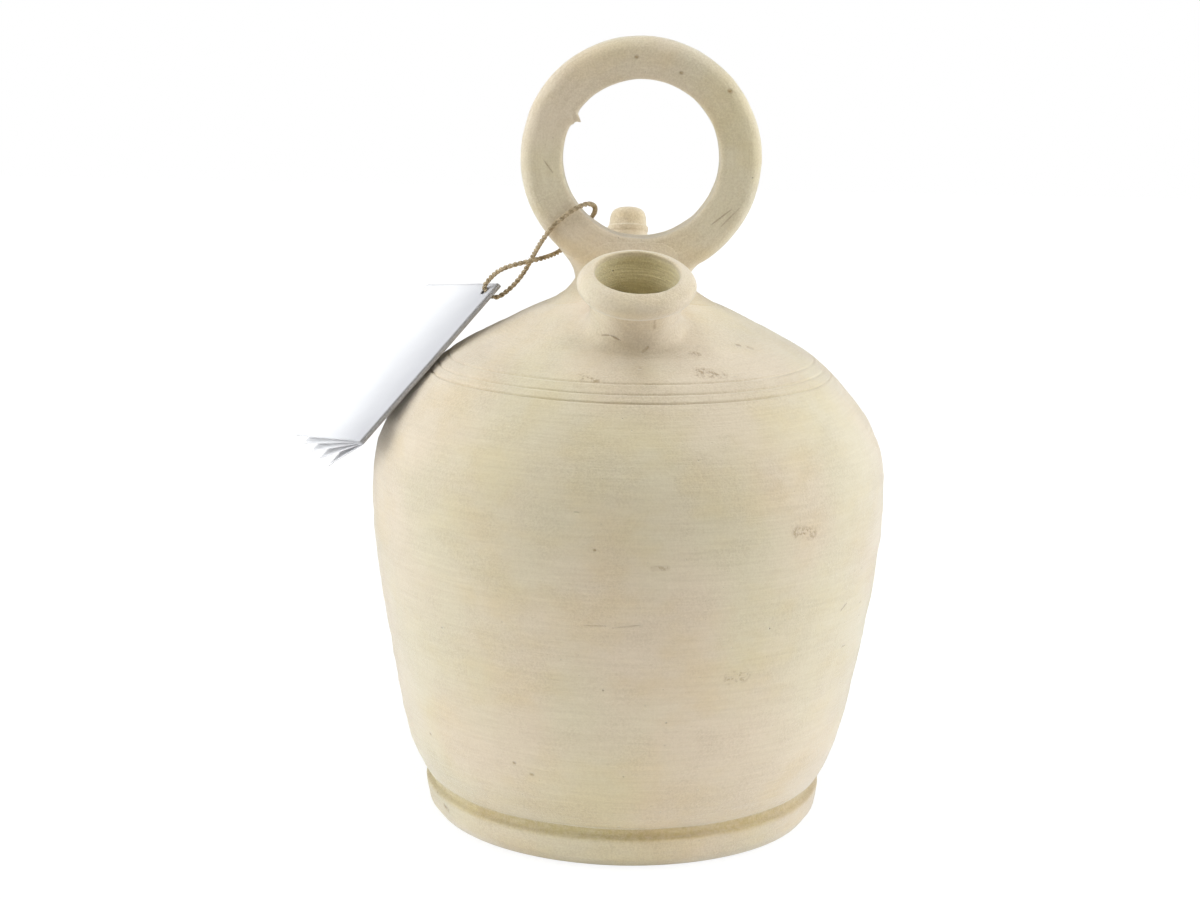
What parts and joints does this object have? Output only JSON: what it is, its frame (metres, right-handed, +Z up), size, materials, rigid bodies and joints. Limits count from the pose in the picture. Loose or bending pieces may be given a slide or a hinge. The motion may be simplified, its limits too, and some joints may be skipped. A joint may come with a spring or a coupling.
{
  "type": "ceramic water jug",
  "caption": "Closed unglazed clay water jug with a ring handle on top, a filling mouth in front, a fine drinking spout behind, and a folded card tied to the handle with twine.",
  "frame": {"origin": "centre of the foot's flat underside", "axes": "+Z up through the ring handle, -Y towards the filling mouth, +Y towards the drinking spout, -X towards the card"},
  "size_m": [0.2323, 0.2, 0.3035],
  "materials": {
    "clay": "matt unglazed cream-white earthenware with faint throwing lines",
    "twine": "two-ply jute twine",
    "card": "smooth white card"
  },
  "bodies": {
    "vessel": {"thrown_body": "clay", "filling_mouth": "clay", "drinking_spout": "clay", "ring_handle": "clay", "handle_saddle": "clay", "twine_loop": "twine", "twine_knot": "twine"},
    "card_back": {"card_back_cover": "card"},
    "card_front": {"card_front_cover": "card"},
    "card_leaf_1": {"card_inner_leaf_1": "card"},
    "card_leaf_2": {"card_inner_leaf_2": "card"},
    "card_leaf_3": {"card_inner_leaf_3": "card"}
  },
  "joints": [
    {"name": "card_swing", "type": "hinge", "parent": "vessel", "child": "card_back", "pos_m": [-0.05555, 0.00564, 0.20289], "axis": [-0.3545, 0.869, -0.3452], "range_deg": [0, 45], "deforming": ["twine_loop"]},
    {"name": "cover_turn", "type": "hinge", "parent": "card_back", "child": "card_front", "pos_m": [-0.0767, -0.01774, 0.18022], "axis": [0.5782, 0.4938, 0.6494], "range_deg": [-16, 100], "deforming": ["twine_loop"]},
    {"name": "leaf_1_turn", "type": "hinge", "parent": "card_back", "child": "card_leaf_1", "pos_m": [-0.07605, -0.01676, 0.1789], "axis": [0.5782, 0.4938, 0.6494], "range_deg": [-4.5, 25.5], "deforming": ["twine_loop"]},
    {"name": "leaf_2_turn", "type": "hinge", "parent": "card_back", "child": "card_leaf_2", "pos_m": [-0.07625, -0.01693, 0.1792], "axis": [0.5782, 0.4938, 0.6494], "range_deg": [-8.5, 50.5], "deforming": ["twine_loop"]},
    {"name": "leaf_3_turn", "type": "hinge", "parent": "card_back", "child": "card_leaf_3", "pos_m": [-0.07645, -0.0171, 0.17951], "axis": [0.5782, 0.4938, 0.6494], "range_deg": [-12.5, 75.5], "deforming": ["twine_loop"]}
  ],
  "couplings": [
    {"joint": "leaf_1_turn", "follows": "cover_turn", "ratio": 0.25},
    {"joint": "leaf_2_turn", "follows": "cover_turn", "ratio": 0.5},
    {"joint": "leaf_3_turn", "follows": "cover_turn", "ratio": 0.75}
  ]
}
